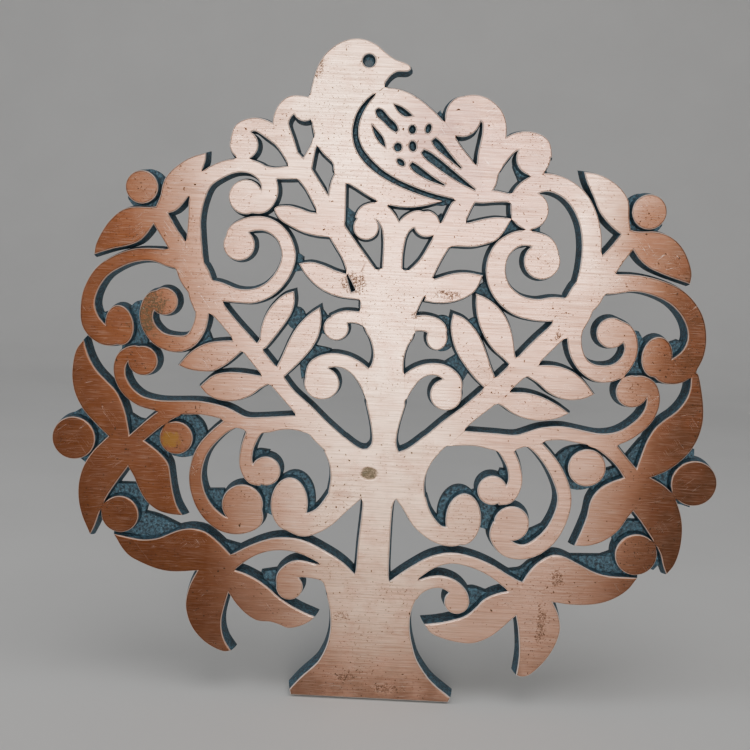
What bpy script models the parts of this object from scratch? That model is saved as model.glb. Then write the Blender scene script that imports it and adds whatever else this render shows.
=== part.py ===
"""Tree of life plaque with a bird on its crown, as an assembly of flat copper pieces.

Every piece is cut from one plate thickness. Its raised face has an outline made of ribbons (a
centre line with a width at each station), discs, ovals and leaves. Between close neighbours a lower
web, half as thick, fills the gap and carries the next piece. The tree stands up along +Z, its face
looks along -Y and its flat back lies on Y = 0. Lengths below are in millimetres: x runs to the right
of the trunk's axis, and z runs up from the design's zero line, just above the underside of the foot.
"""

import math

import bpy
from mathutils import Vector
from mathutils.geometry import delaunay_2d_cdt

MM = 0.001
THICKNESS = 6.0  # back to raised face
WEB_THICKNESS = 3.0  # back to the top of a web
GAP = 0.3  # clearance between neighbouring pieces
MIDDLE = 81.8  # the design height that becomes Z = 0
SAG = 0.05  # how far a straight edge may stand off its curve
SAMPLE = 0.3  # spacing of the points that a curve is first read at
SHORTEST = 0.18  # no shorter edge is kept in an outline
FLATNESS = 0.02  # a corner flatter than this is dropped
SMALLEST_WEB = 0.6  # square millimetres, a smaller scrap of web is dropped
MITRE_LIMIT = 2.0

# name of a finish: base colour, roughness
FINISHES = {
    "bright": ((0.78, 0.50, 0.38), 0.38),
    "warm": ((0.62, 0.36, 0.25), 0.42),
    "brown": ((0.42, 0.22, 0.13), 0.48),
}


# ---- plane geometry -----------------------------------------------------------------------------


def curve(stations):
    """Closely spaced points on the smooth curve through the stations (centripetal Catmull-Rom)."""
    stations = [Vector(s) for s in stations]
    before = 2 * stations[0] - stations[1]
    after = 2 * stations[-1] - stations[-2]
    run = [before, *stations, after]
    found = []
    for a, b, c, d in zip(run, run[1:], run[2:], run[3:]):
        knots = [0.0]
        for p, q in ((a, b), (b, c), (c, d)):
            knots.append(knots[-1] + max(math.sqrt((q.xy - p.xy).length), 1e-6))
        k0, k1, k2, k3 = knots
        count = max(2, math.ceil((c.xy - b.xy).length / SAMPLE))
        for i in range(count):
            t = k1 + (k2 - k1) * i / count
            ab = a.lerp(b, (t - k0) / (k1 - k0))
            bc = b.lerp(c, (t - k1) / (k2 - k1))
            cd = c.lerp(d, (t - k2) / (k3 - k2))
            abc = ab.lerp(bc, (t - k0) / (k2 - k0))
            bcd = bc.lerp(cd, (t - k1) / (k3 - k1))
            found.append(abc.lerp(bcd, (t - k1) / (k2 - k1)))
    found.append(stations[-1])
    return found


def off_line(point, start, end):
    """How far a point is from the segment between two others."""
    along = end - start
    if along.length < 1e-9:
        return (point - start).length
    share = min(1.0, max(0.0, (point - start).dot(along) / along.length_squared))
    return (point - start - along * share).length


def thin_out(points, tolerance=SAG):
    """The fewest of the points that stay within the tolerance of them all."""
    if len(points) < 3:
        return list(points)
    distances = [off_line(p, points[0], points[-1]) for p in points[1:-1]]
    worst = max(distances)
    if worst <= tolerance:
        return [points[0], points[-1]]
    split = distances.index(worst) + 1
    return thin_out(points[: split + 1], tolerance)[:-1] + thin_out(points[split:], tolerance)


def area(loop):
    """The signed area of a loop, positive when it runs anticlockwise."""
    return sum(p.cross(q) for p, q in zip(loop, loop[1:] + loop[:1])) / 2


def anticlockwise(loop):
    return loop if area(loop) > 0 else loop[::-1]


def ribbon(*stations):
    """A band along a smooth centre line. Each station is x, z, width."""
    line = curve(stations)
    left = []
    right = []
    for i, p in enumerate(line):
        ahead = (line[min(i + 1, len(line) - 1)] - line[max(i - 1, 0)]).xy.normalized()
        side = Vector((-ahead.y, ahead.x)) * p.z / 2
        left.append(p.xy + side)
        right.append(p.xy - side)
    return anticlockwise(thin_out(left) + thin_out(right)[::-1])


def oval(x, z, half_width, half_height, tilt=0.0):
    """An ellipse, with its tilt in degrees."""
    turn = math.radians(tilt)
    count = math.ceil(math.pi / math.acos(1 - 1.2 * SAG / max(half_width, half_height)))
    points = []
    for i in range(count):
        a = 2 * math.pi * i / count
        u = half_width * math.cos(a)
        v = half_height * math.sin(a)
        across = u * math.cos(turn) - v * math.sin(turn)
        along = u * math.sin(turn) + v * math.cos(turn)
        points.append(Vector((x + across, z + along)))
    return points


def disc(x, z, radius):
    return oval(x, z, radius, radius)


def outline(*spans):
    """A closed outline of smooth spans. Each span starts where the last one ends, at a corner."""
    points = []
    for span in spans:
        line = [p.xy for p in curve([(x, z, 0.0) for x, z in span])]
        points += thin_out(line)[:-1]
    return anticlockwise(points)


def patch(*points):
    """A straight-sided shape, for a web whose edges lie under its neighbours."""
    return anticlockwise([Vector(p) for p in points])


def grown(loop, distance=GAP):
    """The loop with every side moved out by a distance."""
    points = []
    for a, b, c in zip(loop[-1:] + loop[:-1], loop, loop[1:] + loop[:1]):
        first = (b - a).normalized()
        second = (c - b).normalized()
        out = Vector((first.y + second.y, -first.x - second.x))
        if out.length < 1e-6:
            out = Vector((first.y, -first.x))
        out.normalize()
        reach = min(MITRE_LIMIT, 1 / max(out.dot(Vector((first.y, -first.x))), 0.1))
        points.append(b + out * distance * reach)
    return points


def divide(loops):
    """Triangles that follow every loop: points, triangles, and the loops around each triangle."""
    points = []
    faces = []
    for loop in loops:
        faces.append(list(range(len(points), len(points) + len(loop))))
        points += loop
    found, _, triangles, _, _, around = delaunay_2d_cdt(points, [], faces, 0, 1e-4, True)
    return found, triangles, around


def rings(points, triangles):
    """The loops around a set of triangles: anticlockwise outside, clockwise round a hole."""
    directed = {(t[i], t[(i + 1) % 3]) for t in triangles for i in range(3)}
    following = {}
    for a, b in sorted(directed):
        if (b, a) not in directed:
            following.setdefault(a, []).append(b)
    loops = []
    while following:
        start = min(following)
        loop = [start]
        at = start
        while True:
            after = following[at].pop()
            if not following[at]:
                del following[at]
            if after == start:
                break
            loop.append(after)
            at = after
        loops.append([points[i].copy() for i in loop])
    return loops


def tidied(loop):
    """The loop without points that change nothing, and without very short edges."""
    loop = list(loop)
    again = True
    while again and len(loop) > 3:
        again = False
        for i in range(len(loop)):
            a, b, c = loop[i - 1], loop[i], loop[(i + 1) % len(loop)]
            short = min((b - a).length, (c - b).length) < SHORTEST
            if off_line(b, a, c) < (SHORTEST / 3 if short else FLATNESS):
                del loop[i]
                again = True
                break
    return loop


def region(keep, cut):
    """The loops of the union of some shapes, less some others."""
    points, triangles, around = divide(keep + cut)
    kept = [t for t, ids in zip(triangles, around) if ids and min(ids) < len(keep) and max(ids) < len(keep)]
    return [loop for loop in map(tidied, rings(points, kept)) if abs(area(loop)) > SMALLEST_WEB]


def meet(loop, others):
    """Whether a loop's box touches the box of any of the others."""
    low = Vector((min(p.x for p in loop), min(p.y for p in loop)))
    high = Vector((max(p.x for p in loop), max(p.y for p in loop)))
    for other in others:
        apart = (
            min(p.x for p in other) > high.x
            or max(p.x for p in other) < low.x
            or min(p.y for p in other) > high.y
            or max(p.y for p in other) < low.y
        )
        if not apart:
            return True
    return False


# ---- solids -------------------------------------------------------------------------------------


def classed(raised, webs):
    """Triangles over raised and web loops, each with its height: points, triangles, heights."""
    loops = [*raised, *webs]
    points, triangles, around = divide([anticlockwise(loop) for loop in loops])
    holes = {i for i, loop in enumerate(loops) if area(loop) < 0}
    kept = []
    heights = []
    for triangle, ids in zip(triangles, around):
        in_raised = [i for i in ids if i < len(raised)]
        in_web = [i for i in ids if i >= len(raised)]
        height = 0.0
        if in_raised and not holes.intersection(in_raised):
            height = THICKNESS
        elif in_web and not holes.intersection(in_web):
            height = WEB_THICKNESS
        if height:
            kept.append(tuple(triangle))
            heights.append(height)
    return points, kept, heights


def solid_faces(points, triangles, heights, base):
    """Vertices and faces of the closed solid that stands on the base with those heights."""
    levels = {}
    for triangle, height in zip(triangles, heights):
        for i in triangle:
            levels.setdefault(i, {base}).add(height)
    index = {}
    vertices = []
    for i in sorted(levels):
        for level in sorted(levels[i]):
            index[i, level] = len(vertices)
            vertices.append((points[i].x * MM, -level * MM, (points[i].y - MIDDLE) * MM))
    faces = []
    height_of = {}
    for (a, b, c), height in zip(triangles, heights):
        faces.append([index[a, height], index[b, height], index[c, height]])
        faces.append([index[c, base], index[b, base], index[a, base]])
        for edge in ((a, b), (b, c), (c, a)):
            height_of[edge] = height
    for (a, b), height in height_of.items():
        other = height_of.get((b, a), base)
        if other >= height:
            continue
        up = [index[b, h] for h in sorted(levels[b]) if other <= h <= height]
        down = [index[a, h] for h in sorted(levels[a], reverse=True) if other <= h <= height]
        faces.append(down + up)
    return vertices, faces


def material(name, finish):
    colour, roughness = FINISHES[finish]
    made = bpy.data.materials.new("copper_" + name)
    made.use_nodes = True
    shader = made.node_tree.nodes["Principled BSDF"]
    shader.inputs["Base Color"].default_value = (*colour, 1.0)
    shader.inputs["Metallic"].default_value = 1.0
    shader.inputs["Roughness"].default_value = roughness
    return made


def add_object(name, vertices, faces, finish):
    mesh = bpy.data.meshes.new(name)
    mesh.from_pydata(vertices, [], faces)
    mesh.validate()
    mesh.materials.append(material(name, finish))
    piece = bpy.data.objects.new(name, mesh)
    bpy.context.scene.collection.objects.link(piece)
    return piece


class Piece:
    """A named piece: the shapes of its raised face, its webs, its finish, and its seats.

    A seat is a part of its lower level that later pieces keep clear of. A pit is sunk to that level.
    """

    def __init__(self, name, shapes, webs=(), finish="warm", seats=(), pits=()):
        self.name = name
        self.shapes = list(shapes)
        self.webs = list(webs)
        self.finish = finish
        self.seats = list(seats)
        self.pits = list(pits)
        self.raised = []

    def cut_raised(self, earlier):
        """Fits the raised face round the pieces that come before it, and keeps its largest part."""
        cutters = [grown(s) for piece in earlier for s in piece.shapes + piece.seats]
        cutters = [c for c in cutters if meet(c, self.shapes)]
        loops = region(self.shapes, cutters)
        largest = max(loops, key=area)
        holes = [loop for loop in loops if area(loop) < 0 and joined(anticlockwise(loop), [largest])]
        self.raised = [largest, *holes]

    def cut_webs(self, others, earlier):
        """Fits the webs round the raised faces of all other pieces and the webs of earlier ones."""
        if not self.webs:
            return self.seats
        blocks = [grown(loop) for piece in others for loop in piece.raised if area(loop) > 0]
        blocks += [grown(w) for piece in others for w in piece.seats]
        blocks += [grown(w) for piece in earlier for w in piece.webs]
        blocks = [c for c in blocks if meet(c, self.webs)]
        inside = [loop for loop in self.raised if area(loop) > 0]
        webs = region(self.webs, blocks)
        return self.seats + [w for w in webs if area(w) < 0 or joined(w, inside)]


def joined(web, inside):
    """Whether a web overlaps its own piece's raised face."""
    _, _, around = divide([web, *inside])
    return any(0 in ids and len(ids) > 1 for ids in around)


def build(pieces):
    for i, piece in enumerate(pieces):
        piece.cut_raised(pieces[:i])
    for i, piece in enumerate(pieces):
        others = pieces[:i] + pieces[i + 1 :]
        webs = piece.cut_webs(others, pieces[:i]) + piece.pits
        raised = piece.raised + [pit[::-1] for pit in piece.pits]
        points, triangles, heights = classed(raised, webs)
        vertices, faces = solid_faces(points, triangles, heights, 0.0)
        add_object(piece.name, vertices, faces, piece.finish)


# ---- the design ---------------------------------------------------------------------------------


def bird():
    body = outline(
        [(-21.9, 150.6), (-21.3, 154.5), (-20.2, 158.2), (-18.3, 161.2), (-15.2, 163.7), (-12, 164.8),
         (-9, 164.7), (-6, 163.5), (-3.5, 161.6), (-1.5, 160.4), (0.8, 159.7), (2.1, 159)],
        [(2.1, 159), (2.3, 158.3), (1.5, 157.7)],
        [(1.5, 157.7), (-1, 157.5), (-2.6, 156.4), (-3.7, 154.8), (-4.1, 153.6)],
        [(-4.1, 153.6), (-7.5, 151.1), (-9.9, 148), (-11, 144.5), (-11, 141.5), (-10, 138.4), (-7.5, 135.2),
         (-4, 132.6), (0, 130.6), (4, 129.1), (8, 127.9), (11.6, 127.1)],
        [(11.6, 127.1), (7, 125.7), (3, 125.2), (-1, 125.5), (-4, 126.3), (-7, 127.7), (-10, 129.4),
         (-12.6, 130.7)],
        [(-12.6, 130.7), (-15.3, 133.3)],
        [(-15.3, 133.3), (-15.6, 134.9), (-18.3, 137.4), (-19.8, 139.6)],
        [(-19.8, 139.6), (-20.4, 141.3), (-21.2, 144.9)],
        [(-21.2, 144.9), (-21.9, 150.6)],
    )
    upper_edge = [(-3.9, 153.5), (-2, 153.6), (1, 153.1), (4, 151.8), (7, 149.8), (10, 147.2), (13, 143.9),
                  (15.8, 140.2), (18.5, 137.2)]
    wing_tip = [[(18.5, 137.2), (20.6, 133.5), (20.3, 129)], [(20.3, 129), (14.9, 127.7)]]
    wing_seat = outline(
        upper_edge,
        *wing_tip,
        [(14.9, 127.7), (11.6, 126.6), (4, 128.6), (-4, 132), (-10.5, 138), (-11.6, 144.5), (-8, 151.4),
         (-3.9, 153.5)],
    )
    wing = outline(
        upper_edge,
        *wing_tip,
        [(14.9, 127.7), (9, 128.9), (5, 130.1), (1, 131.6), (-3, 133.7), (-6.2, 136.3), (-8.6, 139.1),
         (-9.7, 142), (-9.6, 145), (-8.4, 148.3), (-6.4, 151.3), (-3.9, 153.5)],
    )
    slits = [
        outline([(-1.5, 149.9), (0.8, 149.1), (3.3, 147.3)], [(3.3, 147.3), (1.6, 147), (0, 147.9), (-1.5, 149.9)]),
        ribbon((-5.5, 148.4, 0.8), (-4.8, 147.7, 1.9), (-3, 146, 1.7), (-1.2, 144.4, 1.7), (-0.3, 143.4, 0.8)),
        outline([(-6.6, 144.8), (-5.2, 143.4), (-3.6, 141.6), (-2.9, 139.3)],
                [(-2.9, 139.3), (-4.3, 140.4), (-5.6, 142.1), (-6.6, 144.8)]),
        oval(3.4, 144, 0.9, 1.1),
        oval(7.3, 144.4, 0.7, 1.2, -15),
        oval(0.1, 139.6, 1, 1.1),
        oval(3.7, 140, 0.9, 1.3, 10),
        oval(1, 136, 1.2, 0.7, -40),
        ribbon((8.7, 141.9, 1.2), (9.8, 140.7, 1.8), (12.8, 137.9, 1.1), (15.8, 135.3, 0.3)),
        ribbon((6.2, 138.9, 1), (7.6, 137.9, 1.9), (12, 134.9, 1.8), (16, 132.3, 1.2), (19.5, 130.3, 0.3)),
        ribbon((3.5, 135.8, 1), (4.8, 134.7, 1.7), (8.3, 132.6, 1.2), (12, 131, 0.3)),
    ]
    eye = disc(-7.9, 159.8, 1.6)
    return body, wing_seat, wing, slits, eye


def trunk():
    return outline(
        [(-20.6, -1.2), (20.4, -1.2)],
        [(20.4, -1.2), (20.9, 0)],
        [(20.9, 0), (19, 1.5), (16, 3.8), (13.5, 6.8), (11.5, 10), (10.3, 13.5), (9.5, 17), (9.3, 20.5),
         (9.8, 23.5), (10.6, 25.8)],
        [(10.6, 25.8), (8.2, 29)],
        [(8.2, 29), (3.5, 29.3)],
        [(3.5, 29.3), (3.2, 33), (3.2, 42), (3.4, 50), (4.2, 53)],
        [(4.2, 53), (11.4, 53)],
        [(11.4, 53), (11.1, 55.5), (11.4, 58.5), (12.7, 61.8), (14.5, 64.3)],
        [(14.5, 64.3), (10.5, 68.5)],
        [(10.5, 68.5), (6.5, 65.2), (4.2, 64.1)],
        [(4.2, 64.1), (3.5, 66), (3.6, 69), (4.2, 72), (5.2, 76)],
        [(5.2, 76), (4.3, 85)],
        [(4.3, 85), (4.3, 88), (5.2, 91.3), (6.2, 93)],
        [(6.2, 93), (6.5, 98.8)],
        [(6.5, 98.8), (8, 102.5)],
        [(8, 102.5), (10.5, 107.9)],
        [(10.5, 107.9), (4.3, 109.7)],
        [(4.3, 109.7), (3.1, 109.8)],
        [(3.1, 109.8), (-2.4, 109.8)],
        [(-2.4, 109.8), (-3.2, 109.6)],
        [(-3.2, 109.6), (-10.7, 108.1)],
        [(-10.7, 108.1), (-7.3, 102.1)],
        [(-7.3, 102.1), (-7.1, 98.7)],
        [(-7.1, 98.7), (-5.6, 94.2)],
        [(-5.6, 94.2), (-4.2, 91.8), (-3.4, 88.5), (-3.6, 86.5), (-4.3, 84.8)],
        [(-4.3, 84.8), (-4.6, 76)],
        [(-4.6, 76), (-3.5, 72), (-2.8, 68.5), (-2.8, 65.8), (-3.8, 64.5)],
        [(-3.8, 64.5), (-5, 64.4), (-6.5, 65), (-9.5, 67.1)],
        [(-9.5, 67.1), (-14.6, 63.2)],
        [(-14.6, 63.2), (-13.2, 60), (-12.7, 56.5), (-13.1, 53)],
        [(-13.1, 53), (-4.6, 53)],
        [(-4.6, 53), (-4.3, 50), (-4.6, 45), (-5, 38), (-5.2, 33), (-5.4, 30.8)],
        [(-5.4, 30.8), (-11.1, 30.7)],
        [(-11.1, 30.7), (-12.3, 25.6)],
        [(-12.3, 25.6), (-11.4, 22), (-11, 18.5), (-11.3, 14.5), (-12.3, 11), (-14, 7.8), (-16, 5.8),
         (-19, 2.6), (-20.9, 0.2)],
        [(-20.9, 0.2), (-20.6, -1.2)],
    )


def pieces():
    body, wing_seat, _, _, eye = bird()
    return [
        Piece("trunk", [trunk()], finish="bright"),
        Piece("bird_body", [body], finish="bright", seats=[wing_seat], pits=[eye]),
        Piece("branch_left",
              [ribbon((-51.8, 110.8, 5), (-49.2, 106.8, 7.5), (-46.5, 102.3, 6.5), (-42.6, 97.8, 4),
                      (-39, 93.8, 3.7), (-35.3, 89.8, 4), (-31.3, 85.3, 4.2), (-27.3, 80.8, 3.9),
                      (-24, 77, 3.7), (-20, 73.2, 4.4), (-16, 68.7, 5.6), (-11.4, 64.7, 5.9)),
               ribbon((-48, 106, 6), (-46.6, 101, 6.6), (-46.2, 97.5, 4.6))]),
        Piece("branch_right",
              [ribbon((51.5, 110, 5.5), (49, 106.5, 8), (46.3, 102.3, 7), (42.6, 97, 5), (38.6, 92.7, 5),
                      (33.3, 86.7, 5), (29.2, 82.5, 5), (26.3, 79.4, 5), (21.5, 75, 4.7), (16.5, 70.3, 5.4),
                      (12.6, 66.5, 5.6)),
               ribbon((48, 106, 7), (46.6, 101, 7), (46, 97.5, 5))]),
        Piece("limb_left",
              [ribbon((-6, 106, 8), (-9.7, 112.7, 5.4), (-13.4, 118, 4.8), (-17.5, 125, 4.4), (-20.6, 129.8, 4),
                      (-23.3, 133.2, 4.4), (-25.6, 136, 3.6)),
               ribbon((-13.5, 116.5, 3), (-13.9, 121, 4), (-14.2, 126, 4.4), (-13.8, 131, 3.6), (-12, 134, 3)),
               ribbon((-22.5, 131.5, 3), (-21.8, 135, 2.8), (-20.6, 138.6, 1.6), (-19.5, 141.5, 1.4))],
              finish="bright"),
        Piece("limb_right",
              [ribbon((5, 105, 8), (9, 111.4, 4.9), (11.6, 116.5, 4.8), (14.2, 121, 5.3),
                      (16.2, 125.5, 5), (18, 129, 5), (21.3, 131.8, 6), (22.4, 136, 5.8)),
               ribbon((17, 129, 3), (21, 128.8, 3.4), (25, 128.9, 2.8), (28, 128.7, 2.2), (31, 128.4, 3)),
               ribbon((16.5, 126.5, 1), (20.2, 130.5, 4), (23.4, 132.5, 1))],
              [patch((9.5, 117.5), (12, 121), (11.5, 123.5), (10.4, 122.5))], "bright"),
        Piece("root_scroll_left",
              [ribbon((-7, 55.5, 9), (-10.7, 50.2, 6.6), (-14.5, 45.9, 5.8), (-19, 44.1, 6.2), (-22.5, 45.8, 7)),
               oval(-22.9, 49.2, 4.7, 6.9)],
              [oval(-21.9, 49.6, 5, 7.2),
               patch((-26.5, 52), (-25.8, 54.8), (-28, 56.4), (-31, 54), (-30.5, 47), (-27.5, 46))], "bright"),
        Piece("root_scroll_right",
              [ribbon((6.5, 56, 9), (8.8, 51, 6.5), (11.3, 46.6, 5.6), (15.6, 43.2, 4.7), (19.5, 43.2, 5.6),
                      (22, 45.5, 6.5)),
               oval(21.5, 47.5, 4.5, 6.7)],
              [oval(20.4, 48, 5, 7.1),
               patch((23, 53.4), (25.4, 54.6), (28.5, 51.5), (30.5, 49), (27.5, 45), (24.5, 46))],
              "bright"),
        Piece("side_branch_left",
              [ribbon((-17, 69.8, 5), (-23, 70.2, 3.6), (-29, 69.6, 3.6), (-35, 69.5, 3.4), (-40, 71.7, 3.3),
                      (-46, 72.8, 3.4), (-52, 72.7, 3.4), (-57, 72.9, 2.8), (-61.8, 74.1, 2.7), (-65.2, 77, 2.8),
                      (-66.8, 81, 2.9), (-66, 84.6, 3.2), (-63.2, 86.2, 3.2), (-60.5, 85.5, 3)),
               disc(-61, 84.1, 3.7),
               ribbon((-25, 70, 3), (-29.5, 69, 3.4), (-33, 68.6, 2.6), (-37, 70, 3))],
              finish="warm"),
        Piece("side_branch_right",
              [ribbon((14, 68.5, 5), (21, 68.4, 3.7), (28, 68.3, 3.5), (34, 68.3, 3.4), (40, 70.3, 3.6),
                      (45, 70.9, 3.5), (50, 70.2, 3.4), (55, 69.8, 3), (59.2, 70.4, 3.3), (63.2, 72.8, 3.3),
                      (66.3, 76.4, 3.3), (67.3, 80.5, 3.3), (66.2, 83.6, 3.4), (63.5, 84.8, 3.4), (61, 84, 3)),
               disc(61.8, 82.4, 4.05),
               ribbon((24, 68, 3), (28.5, 67.4, 3.4), (32, 67, 2.6), (36, 68.6, 3))],
              finish="bright"),
        Piece("ring_outer_left",
              [ribbon((-48, 104, 5), (-48.8, 109.5, 4.6), (-49, 114.5, 3.8), (-49.05, 120, 3.2), (-48.5, 125, 3.8),
                      (-46.8, 129.2, 4), (-43.2, 131.9, 3.9), (-39, 133.3, 3.4), (-35, 133, 3.4),
                      (-31.7, 130.8, 4), (-30.8, 127.2, 4.2), (-32.6, 124.2, 4.2), (-36, 123.4, 3)),
               disc(-36.6, 125.8, 4.2),
               ribbon((-34, 132.4, 3), (-30, 131.9, 2.8), (-26.5, 132.2, 3.2), (-22, 132.5, 3))],
              [patch((-30.5, 121.5), (-33, 121.9), (-33, 119.8), (-27.8, 119.8), (-26.5, 122.5), (-29, 124))]),
        Piece("ring_outer_right",
              [ribbon((47.5, 104, 6), (48.8, 109.5, 5.4), (49.1, 115, 4.8), (48.9, 120, 4.9), (47.6, 124.8, 4.8),
                      (45, 129.1, 4.8), (41.5, 131.8, 4.5), (37.2, 132.9, 4.4), (33.4, 131.8, 4.6),
                      (30.9, 129.2, 4.6), (30.6, 126, 4.2)),
               disc(33.2, 126, 4.7)],
              [patch((29, 123.5), (28, 123.8), (26, 119.5), (30, 119), (31.5, 122.5)),
               patch((31, 120), (36, 120), (36, 122.4), (31, 122.4))], "bright"),
        Piece("ring_inner_left",
              [ribbon((-48, 103.5, 4), (-43, 102.4, 4.8), (-38, 101.5, 3.5), (-34, 101.6, 3.5),
                      (-30.1, 103.4, 3.5), (-26.9, 107.2, 3.5), (-25.5, 112, 3.5), (-27.3, 116.8, 3.3),
                      (-31, 119.3, 3.4), (-35.3, 119.2, 3.6), (-38.8, 117.3, 3.8), (-40, 114.6, 3.2)),
               disc(-37.9, 114.1, 3.9)],
              [patch((-24, 112.6), (-25, 111), (-24.5, 108.4), (-22.6, 108.8), (-22.4, 111.6))]),
        Piece("ring_inner_right",
              [ribbon((48, 102.5, 4), (41, 102, 6), (36.5, 101.6, 5.4), (31.5, 102.7, 5.1), (27.4, 106.2, 4.9),
                      (25.8, 111, 4.9), (27, 115.9, 4.5), (30.6, 118.8, 3.9), (34.5, 119, 3.7), (38, 117.7, 4),
                      (39.6, 115, 3.6)),
               disc(37.1, 113.7, 4.5)],
              [patch((24.5, 108), (27, 103.5), (22, 102.5), (21.5, 105), (22.6, 106.5))], "bright"),
        Piece("scroll_outer_left",
              [ribbon((-48.5, 107, 4), (-52, 109.3, 4.4), (-55, 109.9, 4.2), (-59, 110.6, 3.2), (-63.5, 110.2, 3.2),
                      (-68, 108.4, 3.3), (-71.8, 105.6, 3.4), (-74.4, 101, 3.4), (-75, 97, 3.6), (-73.8, 92.6, 5),
                      (-70.5, 89.9, 4.8), (-66.8, 90.3, 4.6)),
               oval(-67, 92.7, 3.5, 5, 8)],
              [patch((-71, 91.6), (-69.6, 94.2), (-71.2, 95.2), (-73.2, 94)),
               patch((-64.5, 97), (-63.2, 98.3), (-61, 98.5), (-61, 86.6), (-66.5, 86.6), (-66, 89.5))]),
        Piece("scroll_outer_right",
              [ribbon((48, 107, 5), (51.5, 108.6, 5), (55.5, 108.9, 4.8), (60.5, 109.4, 4.1), (66, 108.5, 4.1),
                      (71.5, 106.1, 4.5), (75.5, 101.6, 4.6), (76.9, 96.6, 4.6), (76, 92, 5.6), (73, 88.4, 6.6),
                      (70, 87.5, 5.4), (67.2, 88.6, 4)),
               oval(67.3, 91.3, 3.8, 5.1, -6)],
              [patch((71, 92.2), (71.6, 91.4), (74.5, 94.5), (73, 95.2), (71, 94.3)),
               patch((64, 94.5), (62.7, 96.9), (61.5, 97), (61.4, 88), (60, 85), (68, 85), (66, 87.5), (64, 89.5))]),
        Piece("curl_outer_left",
              [ribbon((-47.5, 103.5, 4), (-46.9, 100, 4.2), (-46.5, 96.6, 3.4), (-47.2, 93, 3.4), (-49.2, 89.8, 3.4),
                      (-52.8, 88.7, 4.2), (-57, 89.8, 3.8), (-59.9, 93.2, 3.3), (-60.3, 96.6, 3.4),
                      (-58.6, 99.6, 4), (-56, 100, 3.6)),
               disc(-56, 99.2, 3.4)],
              [patch((-48.2, 88.6), (-45.6, 92), (-44.4, 89.2), (-46.5, 87.3))]),
        Piece("curl_outer_right",
              [ribbon((46.5, 103, 5), (46.4, 98.5, 4.6), (46.4, 95, 3.7), (47.4, 91, 3.4), (49.6, 88, 3.4),
                      (53.5, 86.4, 4.3), (57.6, 87.3, 4.1), (60.1, 90.3, 3.5), (60.7, 93.7, 3.4), (59.2, 97, 4),
                      (56.8, 98.2, 4)),
               disc(55.6, 96.8, 3.8)],
              [patch((45, 91), (46.3, 88), (49.6, 85), (48, 84.5), (43.5, 87.4))]),
        Piece("side_curl_left",
              [ribbon((-31, 70.5, 4), (-33, 66.5, 3.5), (-34.2, 62.5, 3.2), (-34.2, 58.8, 3.5), (-32.4, 56, 4),
                      (-30, 55.3, 3.4)),
               disc(-29.2, 57.5, 3.7)],
              [patch((-32.6, 58.6), (-30.6, 60.6), (-29.5, 61.8), (-31.5, 61.9), (-32.9, 61))]),
        Piece("side_curl_right",
              [ribbon((29, 69, 4), (31.6, 65.3, 3.6), (33.5, 61.5, 3.4), (34, 57.5, 3.7), (32.4, 54.2, 4),
                      (29.8, 53.4, 3.6)),
               disc(28.4, 55.4, 3.75)],
              [patch((31.6, 57), (30.3, 58.3), (30.8, 59.9), (32.6, 59.7))], "bright"),
        Piece("side_scroll_left",
              [ribbon((-36, 70.8, 3.4), (-40.6, 67.7, 2.9), (-45.3, 62.2, 3), (-47, 56, 3.2), (-46, 50.4, 3.5),
                      (-43.3, 46, 3.9), (-39.2, 43.1, 4), (-35, 42.8, 4), (-31.7, 44.6, 4.2), (-31.6, 47.6, 3.8)),
               disc(-34.8, 48.5, 5.2)],
              [patch((-36, 44.4), (-41.5, 45.8), (-44.6, 50.8), (-40.4, 51), (-39, 46))]),
        Piece("side_scroll_right",
              [ribbon((36, 69.6, 3.4), (39.9, 66.4, 3.1), (44, 61.4, 3.4), (46.8, 54.5, 3.6), (45.8, 48.2, 3.9),
                      (42.7, 43, 4.2), (37.6, 39.8, 3.9), (33, 40.6, 4.4), (30.6, 44, 4.4), (31, 47, 3.8)),
               disc(33.8, 47, 4.5)],
              [patch((32.8, 43.2), (35, 41.3), (40, 43.2), (42.4, 46), (40, 44.7), (36, 42.9))], "bright"),
        Piece("trunk_curl_lower_left",
              [ribbon((-1.5, 75, 4), (-4.3, 81.5, 4.6), (-7.6, 84.9, 3.8), (-11, 86.4, 3.4), (-14.5, 86.4, 3.6),
                      (-17.6, 84.6, 4), (-18.5, 81.6, 3.6)),
               oval(-16, 80.6, 4.4, 4.1)],
              [patch((-18.5, 86.2), (-21, 82), (-21.5, 86), (-18.8, 89.4), (-15, 88.8))], "bright"),
        Piece("trunk_curl_lower_right",
              [ribbon((1.5, 75, 4), (4.5, 80.5, 4.4), (7.5, 84, 3.5), (11, 85.5, 3), (14.6, 85, 3.4),
                      (17.2, 82.6, 3.8), (17.4, 79.6, 3.4)),
               disc(15.3, 79.3, 4)],
              [patch((17.5, 84.6), (14.5, 86.6), (18, 89), (20.5, 85.5), (19, 82.5)),
               patch((19, 77.4), (19.6, 80), (21.8, 79.8), (20, 76.5), (17, 75))], "bright"),
        Piece("trunk_curl_upper_left",
              [ribbon((-2.5, 95, 3), (-5.5, 97, 3.4), (-8.5, 97.6, 3), (-11.3, 97.4, 3.2), (-13.6, 96.2, 3.4)),
               disc(-13, 94.7, 3.1)],
              [patch((-15, 96), (-17, 98.8), (-17.8, 94), (-15.5, 93))], "bright"),
        Piece("trunk_curl_upper_right",
              [ribbon((3, 95.5, 5), (6, 96.6, 4), (9.3, 96.9, 4.1), (12.3, 95.6, 4.4), (13.2, 93.5, 3)),
               oval(12.2, 93.5, 2.6, 3.1)],
              [oval(13.6, 94.4, 3.2, 4.1)], "bright"),
        Piece("arch_left",
              [ribbon((-7, 29.5, 5.5), (-9.5, 32.6, 4.4), (-13, 35.3, 3.6), (-20, 38.4, 3.6), (-26, 38.6, 3.3),
                      (-31, 37, 3), (-35.5, 34.3, 3.4), (-39, 31.5, 4))], finish="bright"),
        Piece("arch_right",
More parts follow.
